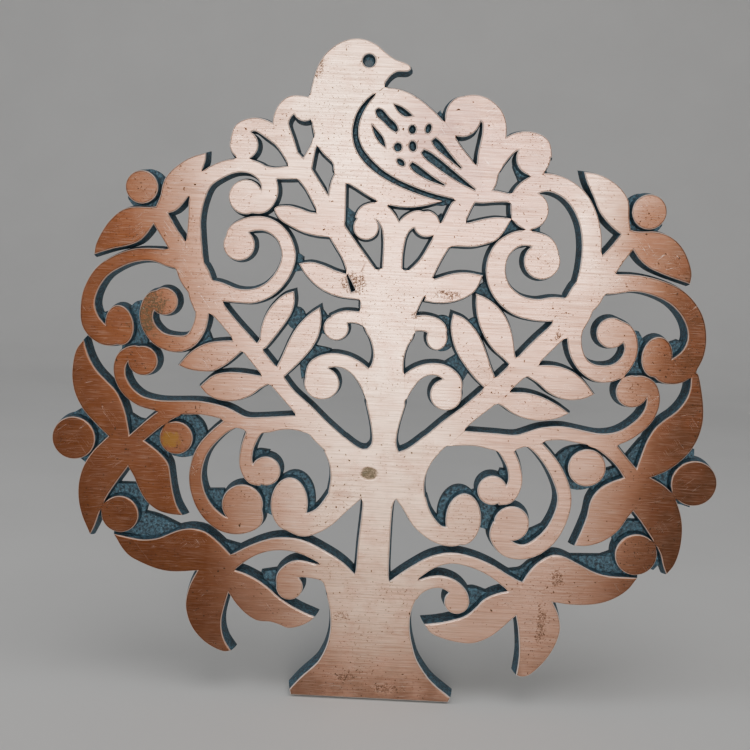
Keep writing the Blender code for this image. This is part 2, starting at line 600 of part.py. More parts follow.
              [ribbon((4.5, 27.5, 5.5), (7, 30.4, 4.3), (10.5, 33.4, 3.6), (14.5, 36, 3.2), (19, 37.2, 2.9),
                      (24, 36.5, 2.8), (29, 34.6, 2.9), (33, 32.2, 3.2), (37, 29.8, 4))], finish="bright"),
        Piece("foot_curl_left",
              [ribbon((-9.2, 27.6, 7), (-12.6, 31, 4), (-16.5, 32.1, 4), (-20.5, 32.3, 4.6), (-23.2, 30.1, 4.4),
                      (-23.5, 27.3, 3.6)),
               disc(-22, 27.6, 3.4)],
              [patch((-25, 25), (-28, 28), (-29, 30), (-26, 30.6), (-25, 28.5))], "bright"),
        Piece("foot_curl_right",
              [ribbon((7, 25.2, 7), (10.3, 28.4, 3.8), (13.5, 30.3, 3.3), (17, 30.8, 3.3), (20.3, 29.4, 3.6),
                      (22.3, 26.8, 3.6), (22, 25, 3)),
               disc(21.1, 25.8, 3.2)],
              [patch((23, 28), (25.2, 28.4), (28.5, 27.5), (24.5, 23.5))], "bright"),
        Piece("leaf_mid_left",
              [outline([(-5, 107), (-8, 108), (-10.8, 108.1)],
                       [(-10.8, 108.1), (-14, 109), (-17, 110.1), (-20, 110.7), (-22.9, 110.2)],
                       [(-22.9, 110.2), (-21.2, 107.6), (-18.5, 105), (-15.5, 103.3), (-12.5, 102.4), (-7.3, 102)],
                       [(-7.3, 102), (-5, 102), (-5, 107)])], finish="bright"),
        Piece("leaf_mid_right",
              [outline([(5, 107), (8, 107.5), (10.5, 107.9)],
                       [(10.5, 107.9), (14, 109.2), (17, 109.9), (20, 109.9), (22.7, 109.5)],
                       [(22.7, 109.5), (21, 105.6), (18.2, 103.5), (15, 102.4), (12, 102.1), (8, 102.5)],
                       [(8, 102.5), (5, 102.5), (5, 107)])], finish="bright"),
        Piece("leaf_crown_left",
              [outline([(-14, 122), (-17, 122.4), (-19.3, 122.8)],
                       [(-19.3, 122.8), (-20.7, 122.9), (-23, 123.6), (-26, 124.2), (-28.8, 123.9)],
                       [(-28.8, 123.9), (-29.5, 123.2), (-28.2, 120.9), (-25, 119), (-22, 117.8), (-19, 117.2),
                        (-15.3, 117)],
                       [(-15.3, 117), (-12, 117), (-14, 122)])], finish="bright"),
        Piece("leaf_crown_right",
              [outline([(14, 122), (16, 122), (18.3, 122.2)],
                       [(18.3, 122.2), (20, 122.7), (22.5, 123.4), (25.5, 123.9), (28.9, 123.7)],
                       [(28.9, 123.7), (27.2, 120.4), (25.3, 118.2), (23, 117.2), (20, 116.4), (15, 116.3)],
                       [(15, 116.3), (12, 116.3), (14, 122)])], finish="bright"),
        Piece("fork_curls",
              [ribbon((0.2, 107, 5), (0.2, 113, 5), (0, 117.5, 4.8), (-0.9, 121, 4.6), (-3.5, 123.8, 4.2),
                      (-6.8, 123.4, 4), (-8.3, 121.3, 3.2)),
               disc(-6.75, 119.9, 3.1),
               ribbon((1.2, 114, 3), (1.8, 118.5, 3.2), (3.2, 121.2, 3.6), (5.9, 122.6, 4), (8.3, 121.8, 4)),
               disc(8.1, 121.4, 3.2)],
              [patch((-9.3, 122.6), (-9, 118.5), (-12.6, 118.5), (-12.9, 125.4), (-11.4, 124))], "bright"),
        Piece("crown_curls_left",
              [ribbon((-24.8, 134.8, 3.4), (-28.4, 139.8, 3.6), (-31.7, 142.2, 4), (-35, 143.4, 3.2),
                      (-38.3, 142, 3.4), (-39.5, 139, 3)),
               disc(-37.5, 138.4, 3.5),
               ribbon((-25.2, 135.5, 3), (-27, 139.6, 3.6), (-28.7, 144.6, 4), (-26.4, 148.3, 4.4), (-22, 148, 5),
                      (-20, 147.6, 5)),
               disc(-23, 147.7, 3)], finish="bright"),
        Piece("crown_curls_right",
              [ribbon((22, 134, 5), (22.4, 139, 5.4), (23.4, 143.8, 6), (22.8, 147.6, 5.6), (19.6, 150.2, 5.2),
                      (15.9, 150.3, 4.6), (13.6, 148, 4)),
               oval(15.6, 147.7, 4.4, 4.9, -6),
               ribbon((22.5, 134, 4), (25.2, 139, 4.4), (27.9, 141.8, 4.2), (31.5, 142.9, 4.1), (35, 141.7, 4.2),
                      (36, 138.5, 3.8)),
               disc(33.3, 138.6, 4.2)],
              [patch((11.6, 146), (10, 148.5), (9.2, 147.6), (13, 143)),
               patch((17, 137), (18, 139), (19.6, 139.6), (19.6, 136)),
               patch((29.5, 136), (31, 133), (37, 134.5), (36.5, 136.5), (33, 134.6))], "bright"),
        Piece("leaf_pair_left",
              [outline([(-60, 122.2), (-58.6, 122.4)],
                       [(-58.6, 122.4), (-57.6, 125), (-57.1, 127.6), (-56.2, 129.9), (-54, 132.3), (-50.5, 134.7),
                        (-46.7, 136)],
                       [(-46.7, 136), (-46.8, 134), (-48, 131), (-49.8, 127), (-51.8, 123.7), (-53.7, 121.7),
                        (-55.6, 120.9)],
                       [(-55.6, 120.9), (-53.6, 117.6), (-50.6, 113.2)],
                       [(-50.6, 113.2), (-52, 109.5), (-55.1, 112)],
                       [(-55.1, 112), (-57, 114.9), (-59.1, 118.1)],
                       [(-59.1, 118.1), (-60.5, 115.9), (-62.5, 113.8), (-65.5, 112.5), (-69, 111.6), (-73.6, 110)],
                       [(-73.6, 110), (-73.3, 112.3), (-71.8, 115.7), (-70, 118.4), (-67.5, 120.8), (-65, 121.9),
                        (-60, 122.2)])],
              [disc(-61.4, 126.4, 4.8)], "brown"),
        Piece("leaf_pair_right",
              [outline([(60, 122.1), (58.3, 122.4)],
                       [(58.3, 122.4), (57.7, 125.5), (57.2, 129.5), (55.3, 132.2), (52, 134.5), (48.8, 135.6),
                        (45.9, 135.9)],
                       [(45.9, 135.9), (46.6, 133.8), (48.6, 130), (50.4, 126.4), (53.3, 123.2), (56, 121.2)],
                       [(56, 121.2), (54, 118.4), (51.4, 115.3)],
                       [(51.4, 115.3), (52, 109.5), (55.4, 111.4)],
                       [(55.4, 111.4), (57.3, 114.6), (59.3, 117.6)],
                       [(59.3, 117.6), (61.2, 115.2), (63.6, 113.4), (67, 112), (70.5, 110.9), (74, 109.9)],
                       [(74, 109.9), (74.2, 112.3), (73, 116), (71, 119.1), (68.3, 121.2), (65, 122.2),
                        (60, 122.1)])],
              [disc(61.9, 126.4, 4.9)], "warm"),
        Piece("spray_outer_left",
              [outline([(-63.9, 65), (-64.5, 68.2), (-65.5, 72), (-67.4, 75.9), (-70, 78.6), (-72.6, 81.2),
                        (-74.6, 84.6), (-75.9, 88.6)],
                       [(-75.9, 88.6), (-77.6, 86.3), (-78.5, 82.5), (-78.6, 78.8), (-77.8, 75), (-75.8, 71.2),
                        (-72.8, 67.9), (-69.2, 64.5)],
                       [(-69.2, 64.5), (-73.2, 60.2), (-75.6, 56), (-76.6, 51.5), (-76.4, 47), (-75.3, 43),
                        (-73.4, 38.9)],
                       [(-73.4, 38.9), (-72.4, 41), (-71.2, 44.6), (-69.3, 49), (-67, 52.7), (-64.1, 57)],
                       [(-64.1, 57), (-62.5, 54.3), (-61, 51), (-59, 48), (-56.4, 46), (-53, 45.1), (-50.1, 45)],
                       [(-50.1, 45), (-51.6, 47.7), (-52.7, 51.5), (-53.3, 55), (-54, 58.2), (-56.4, 61), (-60.2, 63.8)],
                       [(-60.2, 63.8), (-57.2, 66.5), (-54, 69.1), (-51, 70.8)],
                       [(-51, 70.8), (-52.5, 72), (-55, 72.4), (-56.8, 71.5)],
                       [(-56.8, 71.5), (-59.5, 69.2), (-63.9, 65)])],
              [patch((-63.6, 64.8), (-65.2, 70), (-62.4, 68.4), (-60, 68)),
               patch((-60.8, 63.4), (-58.4, 66.8), (-55.6, 66.4), (-54.6, 59), (-57, 60)),
               patch((-69.7, 63), (-71, 66.6), (-76.6, 70.5), (-79, 69), (-79, 60), (-75, 57), (-72, 60)),
               patch((-69.4, 48.4), (-67.6, 51.4), (-61.2, 51.5), (-59.6, 48), (-60.6, 44), (-70.5, 44))], "brown"),
        Piece("spray_outer_right",
              [outline([(64.4, 62.8), (65.3, 66), (66.5, 70), (68.3, 73.4), (70.5, 75.6), (73.2, 77.8),
                        (75.3, 80.7), (76.2, 83.6), (76.2, 87.5)],
                       [(76.2, 87.5), (77.6, 87.9), (79, 83.8), (79.9, 79.5), (80.1, 75.5), (79.3, 71.5),
                        (77.6, 68), (75, 65), (72, 62.6), (68.1, 60.7)],
                       [(68.1, 60.7), (71.8, 58.7), (74.2, 56.4), (76, 53), (77.1, 49), (77.3, 45), (76.9, 41.4),
                        (75.8, 38), (74.2, 35.8)],
                       [(74.2, 35.8), (73.2, 38), (72.4, 40.7), (71, 43.2), (68.5, 46.6), (66, 50), (64.4, 51.8)],
                       [(64.4, 51.8), (63, 49.8), (61.3, 47), (58.8, 44.5), (56, 42.9), (53, 42.1), (50.2, 42.1)],
                       [(50.2, 42.1), (51.7, 46.2), (52.8, 49.8), (53.5, 54), (55.3, 57), (58, 58.9), (61.4, 60.4)],
                       [(61.4, 60.4), (59.5, 63), (57, 65.3), (54, 67.3), (50, 68.7)],
                       [(50, 68.7), (53, 70.3), (57, 70.6), (59.1, 68.6)],
                       [(59.1, 68.6), (61, 66.4), (64.4, 62.8)])],
              [patch((64, 62.6), (66.2, 70), (63, 65.6)),
               patch((60.8, 60), (60.6, 62.2), (56.4, 60.8), (53.6, 57.4), (55, 56)),
               patch((68, 60), (72.5, 63.4), (76, 66.6), (79, 67.4), (79, 53.5), (75.6, 54.5), (72, 58)),
               patch((60.4, 45.8), (62, 48.2), (68, 48.2), (71, 43.6), (73.2, 38.6), (71.4, 36.4), (62, 40))],
              "brown"),
        Piece("spray_lower_left",
              [outline([(-67.3, 39.2), (-64, 38.6), (-60, 38.1), (-56.3, 38.6), (-53.3, 39.9), (-50.5, 41.1),
                        (-47.5, 41.6), (-44.2, 41), (-41.5, 39.2), (-39.3, 37.2), (-37.4, 35.3)],
                       [(-37.4, 35.3), (-35.8, 33.5), (-36.5, 31.4)],
                       [(-36.5, 31.4), (-33.5, 30.5), (-30.5, 29.1), (-27.6, 27.2), (-24.8, 24.8), (-21.5, 22.7),
                        (-18.5, 21.2), (-15.2, 19.9)],
                       [(-15.2, 19.9), (-16.2, 18.8), (-18.8, 17.3), (-22, 16.6), (-24.3, 17.4), (-26.5, 18),
                        (-30, 18.2), (-33, 19.9), (-35.7, 22.6), (-37.6, 25.3)],
                       [(-37.6, 25.3), (-38.5, 21.8), (-39.2, 18), (-39, 14.8), (-38.1, 12.2), (-36.5, 9.8)],
                       [(-36.5, 9.8), (-38.2, 9.5), (-41.3, 10.6), (-44.2, 12.6), (-46.7, 15.6), (-48.1, 19),
                        (-48.5, 22.2), (-47.6, 26.6), (-45.7, 30.7)],
                       [(-45.7, 30.7), (-49, 30.3), (-52.5, 30.1), (-56, 30.6), (-60, 32), (-63.3, 33.7),
                        (-65.4, 36), (-67.3, 39.2)])],
              [patch((-66.5, 38.8), (-64.5, 43.6), (-62, 44.5), (-57, 43.4), (-52.6, 41.6), (-50.5, 40.6),
                     (-56, 37.5)),
               patch((-38.8, 35.6), (-39.2, 37.4), (-36.8, 36.8), (-34.5, 36.3), (-35, 34.5))], "brown"),
        Piece("spray_lower_right",
              [outline([(66.8, 34.4), (63, 34.5), (59, 34.6), (56, 35.3), (53, 36.6), (50, 38), (47.3, 39.2),
                        (44.8, 39.3), (42.5, 38.2), (40.3, 36.2), (38.7, 34), (37.5, 31.8)],
                       [(37.5, 31.8), (35.5, 31), (34.4, 29.4)],
                       [(34.4, 29.4), (31, 28.4), (28, 26.7), (26, 24.4), (23.6, 22.2), (20, 20.8), (16.5, 19.9),
                        (13.1, 19.4)],
                       [(13.1, 19.4), (14.8, 17.2), (18.2, 15.8), (22, 15), (25.5, 14.9), (28.5, 15.9), (31.3, 17.7),
                        (34, 20.4), (36.5, 22.9)],
                       [(36.5, 22.9), (37.2, 20), (37.8, 15.5), (38, 12), (37.6, 7)],
                       [(37.6, 7), (38.8, 6.6), (40.8, 7.1), (43.2, 9.3), (45.5, 12.3), (47.3, 16), (48.1, 20),
                        (47.2, 24), (45.6, 27)],
                       [(45.6, 27), (50, 26.5), (55, 26.7), (59, 27.6), (62.5, 29.4), (65, 31.6), (66.8, 34.4)])],
              [patch((64.5, 34.2), (64.4, 37), (61.5, 40), (58, 38.5), (50.5, 38.2), (51, 36), (58, 34)),
               patch((38.6, 33), (39.6, 36), (37.4, 34), (35, 33.5), (36, 31.5))], "warm"),
        Piece("leaf_inner_left_upper",
              [outline([(-32, 91), (-31.6, 94.2), (-30.4, 97.6), (-28.5, 100.3), (-26.2, 102.4), (-23.9, 103.3)],
                       [(-23.9, 103.3), (-23.6, 101), (-24.1, 98.2), (-26, 94.8), (-28.4, 91.6), (-30.4, 88.8)],
                       [(-30.4, 88.8), (-33.5, 87), (-32, 91)])],
              [oval(-23.2, 96.4, 1.9, 2.4)]),
        Piece("leaf_inner_left_lower",
              [outline([(-27.3, 84.5), (-26.2, 87), (-24.6, 91), (-22.6, 94.7), (-20, 97.6), (-17.3, 99.6)],
                       [(-17.3, 99.6), (-16.8, 97), (-17.2, 93), (-18.6, 89.7), (-21, 86.5), (-23.4, 83.9),
                        (-25.4, 81.9)],
                       [(-25.4, 81.9), (-28.5, 81.5), (-27.3, 84.5)])]),
        Piece("leaf_outer_left_upper",
              [outline([(-37.8, 90.3), (-41.5, 90), (-45, 89.3), (-48, 87.7), (-50.3, 85.6), (-52, 83.4)],
                       [(-52, 83.4), (-49.6, 82.5), (-46.5, 82.1), (-43.6, 82.3), (-40.6, 83.8), (-38, 86),
                        (-36.2, 87.8)],
                       [(-36.2, 87.8), (-34.5, 90), (-37.8, 90.3)])]),
        Piece("leaf_outer_left_lower",
              [outline([(-30.7, 81.6), (-33.5, 82), (-37, 82.3), (-40.5, 82.1), (-43.3, 81.2), (-46.5, 78.3)],
                       [(-46.5, 78.3), (-44.8, 76.5), (-42.3, 75.3), (-39, 74.9), (-36, 75.5), (-33.4, 76.8),
                        (-31.2, 78.6), (-29.3, 79.7)],
                       [(-29.3, 79.7), (-28, 81), (-30.7, 81.6)])]),
        Piece("leaf_inner_right_upper",
              [outline([(32, 89.9), (31.6, 92.2), (30.8, 95.6), (29.3, 99), (27, 101.8), (24.2, 103.8),
                        (21.3, 104.9)],
                       [(21.3, 104.9), (21.5, 101.5), (22.3, 98), (24, 94.4), (26.4, 91.2), (29, 89.1),
                        (30.6, 87.7)],
                       [(30.6, 87.7), (33, 87.5), (32, 89.9)])], finish="bright"),
        Piece("leaf_inner_right_lower",
              [outline([(27.2, 84.5), (26, 87.2), (24.7, 90.5), (23.1, 93.8), (21, 96.7), (18.6, 98.7),
                        (15.9, 99.7)],
                       [(15.9, 99.7), (15.5, 96.5), (16.2, 92.8), (18, 89), (20.5, 85.7), (22.6, 83.4),
                        (24.8, 81.5)],
                       [(24.8, 81.5), (27.5, 82), (27.2, 84.5)])],
              [oval(21.7, 96, 1.7, 2.3)], "bright"),
        Piece("leaf_outer_right_upper",
              [outline([(38, 87.8), (41, 88), (44, 87.6), (47, 86.4), (49.6, 84.4), (52.4, 81.2)],
                       [(52.4, 81.2), (50, 80), (46.5, 79.4), (43.4, 79.9), (40.7, 81.2), (38.2, 83.2),
                        (35.3, 84.9)],
                       [(35.3, 84.9), (35, 87.5), (38, 87.8)])], finish="warm"),
        Piece("leaf_outer_right_lower",
              [outline([(31.2, 80.5), (34.5, 80.8), (38, 80.3), (41.3, 79.1), (44, 77.7), (46.4, 76.1)],
                       [(46.4, 76.1), (44, 74.8), (41, 74), (38, 73.8), (35, 74.3), (32, 75.5), (29.7, 77),
                        (28.2, 77.7)],
                       [(28.2, 77.7), (28, 80.2), (31.2, 80.5)])], finish="warm"),
        Piece("berry_top_left", [disc(-62.2, 127, 4)], finish="brown"),
        Piece("berry_top_right", [disc(62.6, 127, 4.25)], finish="warm"),
        Piece("berry_mid_left", [disc(-52.1, 64.9, 4.15)],
              [oval(-51, 65.3, 5.7, 5.4)], "brown"),
        Piece("berry_mid_right", [disc(51.9, 62.4, 4.75)],
              [oval(50.4, 61.7, 6.2, 5.2)], "bright"),
        Piece("berry_outer_left", [disc(-78, 63.6, 5.4)], finish="brown"),
        Piece("berry_outer_right", [disc(79.2, 59.7, 5.75)], finish="brown"),
        Piece("berry_low_left", [disc(-65.9, 44.5, 4.7)], finish="brown"),
        Piece("berry_low_right", [disc(66, 40.5, 5.3)], finish="brown"),
    ]


def add_wing(wing, slits):
    """The pierced wing, which stands on the bird's lower level just clear of it."""
    loops = [tidied(wing)] + [slit[::-1] for slit in slits]
    points, triangles, heights = classed(loops, [])
    vertices, faces = solid_faces(points, triangles, heights, WEB_THICKNESS + GAP)
    add_object("bird_wing", vertices, faces, "bright")


def main():
    for old in list(bpy.data.objects):
        bpy.data.objects.remove(old, do_unlink=True)
    build(pieces())
    _, _, wing, slits, _ = bird()
    add_wing(wing, slits)


main()
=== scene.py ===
import math

import bpy
import numpy as np
from mathutils import Matrix, Vector
from mathutils.geometry import delaunay_2d_cdt


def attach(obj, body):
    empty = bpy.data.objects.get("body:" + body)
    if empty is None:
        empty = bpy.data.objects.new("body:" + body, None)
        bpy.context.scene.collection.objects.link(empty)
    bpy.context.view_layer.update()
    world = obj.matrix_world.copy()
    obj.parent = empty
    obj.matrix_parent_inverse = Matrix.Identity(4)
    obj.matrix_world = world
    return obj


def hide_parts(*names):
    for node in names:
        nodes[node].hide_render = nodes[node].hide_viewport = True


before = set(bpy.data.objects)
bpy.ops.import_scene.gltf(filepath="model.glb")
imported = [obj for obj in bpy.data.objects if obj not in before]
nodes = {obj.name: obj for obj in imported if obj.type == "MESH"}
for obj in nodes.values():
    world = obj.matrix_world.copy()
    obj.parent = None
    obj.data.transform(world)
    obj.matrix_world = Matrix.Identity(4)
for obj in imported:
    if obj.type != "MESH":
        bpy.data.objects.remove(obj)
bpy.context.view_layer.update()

# Lengths are in millimetres, and become metres in the meshes. x runs right, z runs up, and depth
# runs from the back face (0) to the raised face (6).
MM = 0.001
TOP = 6.0
WEB_TOP = 3.0
FOOT_LEVEL = -81.8  # the foot's height, from which the places of marks and tones are measured
STEP = 0.45  # spacing of the points along an outline
CORNER = math.radians(42)  # a sharper turn than this is kept as a corner
LONG_SIDE = 2.5  # a side this long makes a corner of a gentler turn too
GENTLE_CORNER = 0.3
SEAM = 0.46  # two facing edges closer than this are one seam
HALF_GAP = 0.145  # how far each edge of a seam moves out, to close it to a hairline
RIM = 0.34  # width of the rounded rim
RIM_SHARE = 0.30  # the most that the rim takes of a thin tip's width
DRAFT_SHARE = 0.32  # the most that a wall's draft takes of the space beside it
WING_BACK = WEB_TOP - 0.05  # the wing stands on the lower level of the bird
WEB_SPREAD = 0.38  # webs run this far under the pieces beside them
WEB_DRAFT = 0.1
WEB_ROUND = 0.15
WEB_BACK = 0.02  # webs end just in front of the back face
# (depth, how far the wall stands out from the outline), from the raised face to the back
PROFILE = [
    (TOP, -RIM), (5.975, -0.21), (5.9, -0.09), (5.77, -0.015), (5.6, 0.03),
    (4.6, 0.16), (3.2, 0.34), (1.6, 0.5), (0.35, 0.58), (0.08, 0.5), (0.0, 0.3),
]

scene = bpy.context.scene

# ---- camera -------------------------------------------------------------------------------------

ROLL = math.radians(2.83)
PITCH = math.radians(7)
CAMERA_PLACE = (-0.00275, -0.27597, 0.03475)
ahead = Vector((0, math.cos(PITCH), -math.sin(PITCH)))
level_up = Vector((0, math.sin(PITCH), math.cos(PITCH)))
right = Vector((1, 0, 0)) * math.cos(ROLL) + level_up * math.sin(ROLL)
up = level_up * math.cos(ROLL) - Vector((1, 0, 0)) * math.sin(ROLL)
camera = bpy.data.objects.new("camera", bpy.data.cameras.new("camera"))
camera.matrix_world = Matrix.Translation(CAMERA_PLACE) @ Matrix(
    (
        (right.x, up.x, -ahead.x, 0),
        (right.y, up.y, -ahead.y, 0),
        (right.z, up.z, -ahead.z, 0),
        (0, 0, 0, 1),
    )
)
camera.data.sensor_width = 36
camera.data.lens = 52.2
camera.data.clip_start = 0.005
camera.data.clip_end = 20
scene.collection.objects.link(camera)
scene.camera = camera

# ---- outlines of the CAD pieces -----------------------------------------------------------------


def level_loops(obj, depth):
    """The loops round the faces that look forward at a depth, as lists of (x, z) in mm."""
    mesh = obj.data
    directed = set()
    for face in mesh.polygons:
        points = [mesh.vertices[i].co / MM for i in face.vertices]
        if all(abs(-p.y - depth) < 0.02 for p in points):
            keys = [(round(p.x * 1e4), round(p.z * 1e4)) for p in points]
            flat = sum(
                a[0] * b[1] - b[0] * a[1] for a, b in zip(keys, keys[1:] + keys[:1])
            )
            if flat < 0:
                keys.reverse()
            directed |= set(zip(keys, keys[1:] + keys[:1]))
    following = {}
    for a, b in sorted(directed):
        if (b, a) not in directed and a != b:
            following.setdefault(a, []).append(b)
    loops = []
    while following:
        start = min(following)
        loop = [start]
        at = start
        while True:
            after = following[at].pop()
            if not following[at]:
                del following[at]
            if after == start:
                break
            loop.append(after)
            at = after
        loops.append(np.array(loop) / 1e4)
    return loops


def smooth(loop):
    """The loop resampled on a smooth curve between its corners."""
    count = len(loop)
    steps = np.roll(loop, -1, axis=0) - loop
    heading = np.arctan2(steps[:, 1], steps[:, 0])
    turn = (heading - np.roll(heading, 1) + math.pi) % (2 * math.pi) - math.pi
    length = np.hypot(steps[:, 0], steps[:, 1])
    # a gentler turn between long sides also counts as a corner
    shorter = np.minimum(length, np.roll(length, 1))
    corners = [
        i for i in range(count)
        if abs(turn[i]) > CORNER or (abs(turn[i]) > GENTLE_CORNER and shorter[i] > LONG_SIDE)
    ]
    spans = []
    if corners:
        for a, b in zip(corners, corners[1:] + [corners[0] + count]):
            spans.append([loop[i % count] for i in range(a, b + 1)])
    else:
        spans.append([loop[i % count] for i in range(count + 1)])
    found = []
    for span in spans:
        if corners:
            run = [2 * span[0] - span[1], *span, 2 * span[-1] - span[-2]]
        else:
            run = [span[-2], *span, span[1]]
        for p0, p1, p2, p3 in zip(run, run[1:], run[2:], run[3:]):
            knots = [0.0]
            for p, q in ((p0, p1), (p1, p2), (p2, p3)):
                knots.append(knots[-1] + max(math.sqrt(math.hypot(*(q - p))), 1e-5))
            k0, k1, k2, k3 = knots
            pieces = max(1, round(math.hypot(*(p2 - p1)) / STEP))
            for i in range(pieces):
                t = k1 + (k2 - k1) * i / pieces
                a = p0 + (p1 - p0) * (t - k0) / (k1 - k0)
                b = p1 + (p2 - p1) * (t - k1) / (k2 - k1)
                c = p2 + (p3 - p2) * (t - k2) / (k3 - k2)
                ab = a + (b - a) * (t - k0) / (k2 - k0)
                bc = b + (c - b) * (t - k1) / (k3 - k1)
                found.append(ab + (bc - ab) * (t - k1) / (k2 - k1))
    return np.array(found)


def sides(loops):
    """Starts, ends and unit directions of every side of some loops."""
    a = np.concatenate(loops)
    b = np.concatenate([np.roll(loop, -1, axis=0) for loop in loops])
    along = b - a
    return a, b, along / np.maximum(np.hypot(along[:, 0], along[:, 1]), 1e-9)[:, None]


def cross(p, q):
    return p[..., 0] * q[..., 1] - p[..., 1] * q[..., 0]


def find_seams(loop, other):
    """Which sides of a loop face a side of another piece across a narrow gap."""
    a, b, along = sides([loop])
    middle = (a + b) / 2
    oa, ob, oalong = other
    offset = middle[:, None] - oa[None]
    reach = np.hypot(*(ob - oa).T)
    share = np.clip((offset * oalong[None]).sum(-1), 0, reach[None])
    away = offset - share[..., None] * oalong[None]
    near = np.hypot(away[..., 0], away[..., 1]) < SEAM
    facing = (along[:, None] * oalong[None]).sum(-1) < -0.85
    return (near & facing).any(1)


def clearance(loop, loops, inward):
    """Distance from each point to the first side met, square to the outline, inwards or outwards."""
    a, b, _ = sides(loops)
    ahead = np.roll(loop, -1, axis=0) - np.roll(loop, 1, axis=0)
    ahead /= np.maximum(np.hypot(ahead[:, 0], ahead[:, 1]), 1e-9)[:, None]
    out = np.stack([ahead[:, 1], -ahead[:, 0]], 1)
    ray = -out if inward else out
    d = (b - a)[None]
    o = a[None] - loop[:, None]
    slope = cross(ray[:, None], d)
    slope = np.where(np.abs(slope) < 1e-9, 1e-9, slope)
    t = cross(o, d) / slope
    s = cross(o, ray[:, None]) / slope
    hit = (t > 0.02) & (s >= -1e-6) & (s <= 1 + 1e-6)
    t = np.where(hit, t, 9.0).min(1)
    # the narrowest of the neighbours counts too, so that thin tips stay whole
    for _ in range(3):
        t = np.minimum(t, np.minimum(np.roll(t, 1), np.roll(t, -1)) + STEP)
    return t


def moved(loop, shift):
    """The loop with each side moved out by its own distance."""
    ahead = np.roll(loop, -1, axis=0) - loop
    ahead /= np.maximum(np.hypot(ahead[:, 0], ahead[:, 1]), 1e-9)[:, None]
    n2 = np.stack([ahead[:, 1], -ahead[:, 0]], 1)
    n1 = np.roll(n2, 1, axis=0)
    d2 = shift
    d1 = np.roll(shift, 1)
    det = cross(n1, n2)
    solved = np.abs(det) > 0.25
    det = np.where(solved, det, 1)
    vx = (d1 * n2[:, 1] - d2 * n1[:, 1]) / det
    vz = (n1[:, 0] * d2 - n2[:, 0] * d1) / det
    mean = n1 + n2
    mean /= np.maximum(np.hypot(mean[:, 0], mean[:, 1]), 1e-6)[:, None]
    mid = mean * ((d1 + d2) / 2)[:, None]
    v = np.where(solved[:, None], np.stack([vx, vz], 1), mid)
    reach = np.hypot(v[:, 0], v[:, 1])
    most = 2.2 * np.maximum(np.abs(d1), np.abs(d2)) + 1e-9
    v *= np.minimum(1, most / np.maximum(reach, 1e-9))[:, None]
    return loop + v


def cap(loops, spots=()):
    """Triangles inside some loops: points, and triples of indices."""
    points = [Vector(p) for loop in loops for p in loop]
    faces = []
    start = 0
    area = []
    for loop in loops:
        faces.append(list(range(start, start + len(loop))))
        start += len(loop)
        area.append(cross(loop, np.roll(loop, -1, axis=0)).sum())
    faces = [f[::-1] if a < 0 else f for f, a in zip(faces, area)]
    points += [Vector(p) for p in spots]
    found, _, triangles, _, _, _ = delaunay_2d_cdt(points, [], faces, 0, 1e-5, False)
    flat = np.array([tuple(p) for p in found])
    middle = flat[np.array(triangles)].mean(1)
    # winding number of the loops round each triangle's middle
    turns = np.zeros(len(triangles))
    for loop in loops:
        rising = np.roll(loop, -1, axis=0)
        above = loop[None, :, 1] <= middle[:, None, 1]
        above_next = rising[None, :, 1] <= middle[:, None, 1]
        side = cross((rising - loop)[None], middle[:, None] - loop[None])
        rises = above & ~above_next & (side > 0)
        falls = ~above & above_next & (side < 0)
        turns += rises.sum(1) - 1.0 * falls.sum(1)
    return found, [t for t, w in zip(triangles, turns) if w > 0.5]


class Shell:
    """Collects vertices and faces of one visual piece."""

    def __init__(self):
        self.vertices = []
        self.faces = []

    def add_flat(self, loops, depth, forward, spots=(), lift=None):
        """A face at a depth, with extra points and a lift where it is uneven."""
        points, triangles = cap(loops, spots)
        start = len(self.vertices)
        for p in points:
            d = depth + (lift(p.x, p.y) if lift else 0)
            self.vertices.append((p.x * MM, -d * MM, p.y * MM))
        for t in triangles:
            order = t if forward else t[::-1]
            self.faces.append([start + i for i in order])

    def add_wall(self, rows):
        """Rows of (depth, loop), from the front to the back."""
        start = len(self.vertices)
        count = len(rows[0][1])
        for depth, loop in rows:
            depths = np.broadcast_to(depth, count)
            self.vertices += [(p[0] * MM, -d * MM, p[1] * MM) for p, d in zip(loop, depths)]
        for r in range(len(rows) - 1):
            for i in range(count):
                j = (i + 1) % count
                top = start + r * count
                low = top + count
                self.faces.append([top + i, low + i, low + j, top + j])

    def finish(self, name, node, material):
        """Makes the object, with smooth walls and flat caps, for one node of the CAD."""
        mesh = bpy.data.meshes.new(name)
        mesh.from_pydata(self.vertices, [], self.faces)
        mesh.materials.append(material)
        mesh.update()
        smooth_face = [len(f) == 4 for f in self.faces]
        mesh.polygons.foreach_set("use_smooth", smooth_face)
        mesh.set_sharp_from_angle(angle=math.radians(38))
        made = bpy.data.objects.new(name, mesh)
        scene.collection.objects.link(made)
        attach(made, "root")
        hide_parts(node)


# ---- materials ----------------------------------------------------------------------------------


